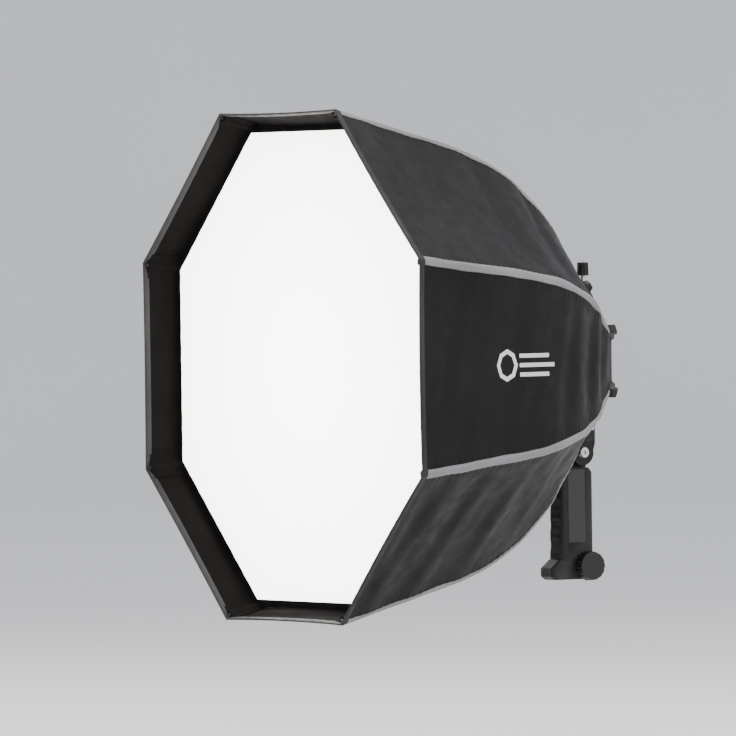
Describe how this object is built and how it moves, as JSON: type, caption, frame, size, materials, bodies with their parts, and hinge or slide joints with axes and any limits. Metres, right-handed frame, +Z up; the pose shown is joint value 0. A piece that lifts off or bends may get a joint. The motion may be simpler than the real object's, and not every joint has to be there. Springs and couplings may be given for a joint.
{
  "type": "folding octagonal softbox on a hand grip",
  "caption": "Octagonal softbox with recessed white diffuser, black panels on folding rods, a flash clamp ring and a tilting hand grip with stand socket.",
  "frame": {"origin": "centre of the stand socket's mouth at the foot of the grip", "axes": "+Z up along the stand socket, -Y the way the softbox faces, +X to the side of the silver tilt bolt head and of the stand clamp's knob; X = 0 is the mirror plane of the shell"},
  "size_m": [0.6, 0.443, 0.6],
  "materials": {
    "black_polymer": "fine moulded texture, satin",
    "grey_polymer": "smooth satin side plate",
    "grip_rubber": "soft matte rubber",
    "satin_steel": "turned and satin finished",
    "black_metal": "black powder coat",
    "rod_fibreglass": "pultruded fibreglass, slight gloss",
    "shell_nylon": "black coated nylon, silver inside",
    "diffuser_cloth": "white translucent ripstop"
  },
  "bodies": {
    "grip": {"grip_core": "black_polymer", "grip_plates": "grey_polymer", "grip_sleeve": "grip_rubber", "stand_bush": "satin_steel", "tilt_bolt": "satin_steel", "tilt_washers": "satin_steel"},
    "stand_clamp": {"stand_knob": "black_polymer", "stand_screw": "satin_steel"},
    "tilt_lock": {"tilt_knob": "black_polymer"},
    "head": {"yoke": "black_metal", "yoke_screws": "satin_steel", "hub_ring": "black_polymer", "hub_pins": "satin_steel", "hub_cover": "black_metal", "hub_screws": "satin_steel", "throat_collar": "shell_nylon", "front_diffuser": "diffuser_cloth", "inner_baffle": "diffuser_cloth"},
    "flash_clamp": {"clamp_knob": "black_polymer", "clamp_screw": "satin_steel"},
    "rib_1": {"rib_1": "rod_fibreglass", "rib_knuckle_1": "black_polymer", "rib_rivet_1": "satin_steel"},
    "pleat_1_after": {"panel_1_after": "shell_nylon"},
    "pleat_1_before": {"panel_1_before": "shell_nylon"},
    "rib_2": {"rib_2": "rod_fibreglass", "rib_knuckle_2": "black_polymer", "rib_rivet_2": "satin_steel"},
    "pleat_2_after": {"panel_2_after": "shell_nylon"},
    "pleat_2_before": {"panel_2_before": "shell_nylon"},
    "rib_3": {"rib_3": "rod_fibreglass", "rib_knuckle_3": "black_polymer", "rib_rivet_3": "satin_steel"},
    "pleat_3_after": {"panel_3_after": "shell_nylon"},
    "pleat_3_before": {"panel_3_before": "shell_nylon"},
    "rib_4": {"rib_4": "rod_fibreglass", "rib_knuckle_4": "black_polymer", "rib_rivet_4": "satin_steel"},
    "pleat_4_after": {"panel_4_after": "shell_nylon"},
    "pleat_4_before": {"panel_4_before": "shell_nylon"},
    "rib_5": {"rib_5": "rod_fibreglass", "rib_knuckle_5": "black_polymer", "rib_rivet_5": "satin_steel"},
    "pleat_5_after": {"panel_5_after": "shell_nylon"},
    "pleat_5_before": {"panel_5_before": "shell_nylon"},
    "rib_6": {"rib_6": "rod_fibreglass", "rib_knuckle_6": "black_polymer", "rib_rivet_6": "satin_steel"},
    "pleat_6_after": {"panel_6_after": "shell_nylon"},
    "pleat_6_before": {"panel_6_before": "shell_nylon"},
    "rib_7": {"rib_7": "rod_fibreglass", "rib_knuckle_7": "black_polymer", "rib_rivet_7": "satin_steel"},
    "pleat_7_after": {"panel_7_after": "shell_nylon"},
    "pleat_7_before": {"panel_7_before": "shell_nylon"},
    "rib_8": {"rib_8": "rod_fibreglass", "rib_knuckle_8": "black_polymer", "rib_rivet_8": "satin_steel"},
    "pleat_8_after": {"panel_8_after": "shell_nylon"},
    "pleat_8_before": {"panel_8_before": "shell_nylon"}
  },
  "joints": [
    {"name": "head_tilt", "type": "hinge", "parent": "grip", "child": "head", "pos_m": [0, -0.004, 0.152], "axis": [-1, 0, 0], "range_deg": [-12, 50]},
    {"name": "tilt_lock_turn", "type": "hinge", "parent": "grip", "child": "tilt_lock", "pos_m": [0, -0.004, 0.152], "axis": [-1, 0, 0], "range_deg": [-90, 180]},
    {"name": "stand_clamp_turn", "type": "hinge", "parent": "grip", "child": "stand_clamp", "pos_m": [0.017, 0, 0.016], "axis": [1, 0, 0], "range_deg": [-720, 360]},
    {"name": "flash_clamp_turn", "type": "hinge", "parent": "head", "child": "flash_clamp", "pos_m": [0, 0.0096, 0.262], "axis": [0, 0, 1], "range_deg": [-720, 360]},
    {"name": "fold", "type": "hinge", "parent": "head", "child": "rib_1", "pos_m": [0.04804, -0.003, 0.2819], "axis": [0.3827, 0, -0.9239], "range_deg": [0, 31], "deforming": ["front_diffuser", "inner_baffle", "throat_collar"]},
    {"name": "pleat_1_after_turn", "type": "hinge", "parent": "rib_1", "child": "pleat_1_after", "pos_m": [0.04408, -0.003, 0.29146], "axis": [-0.0965, 0.0806, 0.9921], "range_deg": [-0.5, 18.94], "deforming": ["panel_1_after"]},
    {"name": "pleat_1_before_turn", "type": "hinge", "parent": "rib_1", "child": "pleat_1_before", "pos_m": [0.052, -0.003, 0.27234], "axis": [-0.6333, -0.0806, 0.7697], "range_deg": [-0.5, 18.94], "deforming": ["panel_1_before"]},
    {"name": "rib_fold_2", "type": "hinge", "parent": "head", "child": "rib_2", "pos_m": [0.0199, -0.003, 0.31004], "axis": [0.9239, 0, -0.3827], "range_deg": [-0.5, 31.5]},
    {"name": "pleat_2_after_turn", "type": "hinge", "parent": "rib_2", "child": "pleat_2_after", "pos_m": [0.01034, -0.003, 0.314], "axis": [-0.7697, 0.0806, 0.6333], "range_deg": [-0.5, 18.94], "deforming": ["panel_2_after"]},
    {"name": "pleat_2_before_turn", "type": "hinge", "parent": "rib_2", "child": "pleat_2_before", "pos_m": [0.02946, -0.003, 0.30608], "axis": [-0.9921, -0.0806, 0.0965], "range_deg": [-0.5, 18.94], "deforming": ["panel_2_before"]},
    {"name": "rib_fold_3", "type": "hinge", "parent": "head", "child": "rib_3", "pos_m": [-0.0199, -0.003, 0.31004], "axis": [0.9239, 0, 0.3827], "range_deg": [-0.5, 31.5]},
    {"name": "pleat_3_after_turn", "type": "hinge", "parent": "rib_3", "child": "pleat_3_after", "pos_m": [-0.02946, -0.003, 0.30608], "axis": [-0.9921, 0.0806, -0.0965], "range_deg": [-0.5, 18.94], "deforming": ["panel_3_after"]},
    {"name": "pleat_3_before_turn", "type": "hinge", "parent": "rib_3", "child": "pleat_3_before", "pos_m": [-0.01034, -0.003, 0.314], "axis": [-0.7697, -0.0806, -0.6333], "range_deg": [-0.5, 18.94], "deforming": ["panel_3_before"]},
    {"name": "rib_fold_4", "type": "hinge", "parent": "head", "child": "rib_4", "pos_m": [-0.04804, -0.003, 0.2819], "axis": [0.3827, 0, 0.9239], "range_deg": [-0.5, 31.5]},
    {"name": "pleat_4_after_turn", "type": "hinge", "parent": "rib_4", "child": "pleat_4_after", "pos_m": [-0.052, -0.003, 0.27234], "axis": [-0.6333, 0.0806, -0.7697], "range_deg": [-0.5, 18.94], "deforming": ["panel_4_after"]},
    {"name": "pleat_4_before_turn", "type": "hinge", "parent": "rib_4", "child": "pleat_4_before", "pos_m": [-0.04408, -0.003, 0.29146], "axis": [-0.0965, -0.0806, -0.9921], "range_deg": [-0.5, 18.94], "deforming": ["panel_4_before"]},
    {"name": "rib_fold_5", "type": "hinge", "parent": "head", "child": "rib_5", "pos_m": [-0.04804, -0.003, 0.2421], "axis": [-0.3827, 0, 0.9239], "range_deg": [-0.5, 31.5]},
    {"name": "pleat_5_after_turn", "type": "hinge", "parent": "rib_5", "child": "pleat_5_after", "pos_m": [-0.04408, -0.003, 0.23254], "axis": [0.0965, 0.0806, -0.9921], "range_deg": [-0.5, 18.94], "deforming": ["panel_5_after"]},
    {"name": "pleat_5_before_turn", "type": "hinge", "parent": "rib_5", "child": "pleat_5_before", "pos_m": [-0.052, -0.003, 0.25166], "axis": [0.6333, -0.0806, -0.7697], "range_deg": [-0.5, 18.94], "deforming": ["panel_5_before"]},
    {"name": "rib_fold_6", "type": "hinge", "parent": "head", "child": "rib_6", "pos_m": [-0.0199, -0.003, 0.21396], "axis": [-0.9239, 0, 0.3827], "range_deg": [-0.5, 31.5]},
    {"name": "pleat_6_after_turn", "type": "hinge", "parent": "rib_6", "child": "pleat_6_after", "pos_m": [-0.01034, -0.003, 0.21], "axis": [0.7697, 0.0806, -0.6333], "range_deg": [-0.5, 18.94], "deforming": ["panel_6_after"]},
    {"name": "pleat_6_before_turn", "type": "hinge", "parent": "rib_6", "child": "pleat_6_before", "pos_m": [-0.02946, -0.003, 0.21792], "axis": [0.9921, -0.0806, -0.0965], "range_deg": [-0.5, 18.94], "deforming": ["panel_6_before"]},
    {"name": "rib_fold_7", "type": "hinge", "parent": "head", "child": "rib_7", "pos_m": [0.0199, -0.003, 0.21396], "axis": [-0.9239, 0, -0.3827], "range_deg": [-0.5, 31.5]},
    {"name": "pleat_7_after_turn", "type": "hinge", "parent": "rib_7", "child": "pleat_7_after", "pos_m": [0.02946, -0.003, 0.21792], "axis": [0.9921, 0.0806, 0.0965], "range_deg": [-0.5, 18.94], "deforming": ["panel_7_after"]},
    {"name": "pleat_7_before_turn", "type": "hinge", "parent": "rib_7", "child": "pleat_7_before", "pos_m": [0.01034, -0.003, 0.21], "axis": [0.7697, -0.0806, 0.6333], "range_deg": [-0.5, 18.94], "deforming": ["panel_7_before"]},
    {"name": "rib_fold_8", "type": "hinge", "parent": "head", "child": "rib_8", "pos_m": [0.04804, -0.003, 0.2421], "axis": [-0.3827, 0, -0.9239], "range_deg": [-0.5, 31.5]},
    {"name": "pleat_8_after_turn", "type": "hinge", "parent": "rib_8", "child": "pleat_8_after", "pos_m": [0.052, -0.003, 0.25166], "axis": [0.6333, 0.0806, 0.7697], "range_deg": [-0.5, 18.94], "deforming": ["panel_8_after"]},
    {"name": "pleat_8_before_turn", "type": "hinge", "parent": "rib_8", "child": "pleat_8_before", "pos_m": [0.04408, -0.003, 0.23254], "axis": [0.0965, -0.0806, 0.9921], "range_deg": [-0.5, 18.94], "deforming": ["panel_8_before"]}
  ],
  "couplings": [
    {"joint": "pleat_1_after_turn", "follows": "fold", "ratio": 0.59475},
    {"joint": "pleat_1_before_turn", "follows": "fold", "ratio": 0.59475},
    {"joint": "rib_fold_2", "follows": "fold", "ratio": 1},
    {"joint": "pleat_2_after_turn", "follows": "fold", "ratio": 0.59475},
    {"joint": "pleat_2_before_turn", "follows": "fold", "ratio": 0.59475},
    {"joint": "rib_fold_3", "follows": "fold", "ratio": 1},
    {"joint": "pleat_3_after_turn", "follows": "fold", "ratio": 0.59475},
    {"joint": "pleat_3_before_turn", "follows": "fold", "ratio": 0.59475},
    {"joint": "rib_fold_4", "follows": "fold", "ratio": 1},
    {"joint": "pleat_4_after_turn", "follows": "fold", "ratio": 0.59475},
    {"joint": "pleat_4_before_turn", "follows": "fold", "ratio": 0.59475},
    {"joint": "rib_fold_5", "follows": "fold", "ratio": 1},
    {"joint": "pleat_5_after_turn", "follows": "fold", "ratio": 0.59475},
    {"joint": "pleat_5_before_turn", "follows": "fold", "ratio": 0.59475},
    {"joint": "rib_fold_6", "follows": "fold", "ratio": 1},
    {"joint": "pleat_6_after_turn", "follows": "fold", "ratio": 0.59475},
    {"joint": "pleat_6_before_turn", "follows": "fold", "ratio": 0.59475},
    {"joint": "rib_fold_7", "follows": "fold", "ratio": 1},
    {"joint": "pleat_7_after_turn", "follows": "fold", "ratio": 0.59475},
    {"joint": "pleat_7_before_turn", "follows": "fold", "ratio": 0.59475},
    {"joint": "rib_fold_8", "follows": "fold", "ratio": 1},
    {"joint": "pleat_8_after_turn", "follows": "fold", "ratio": 0.59475},
    {"joint": "pleat_8_before_turn", "follows": "fold", "ratio": 0.59475}
  ]
}
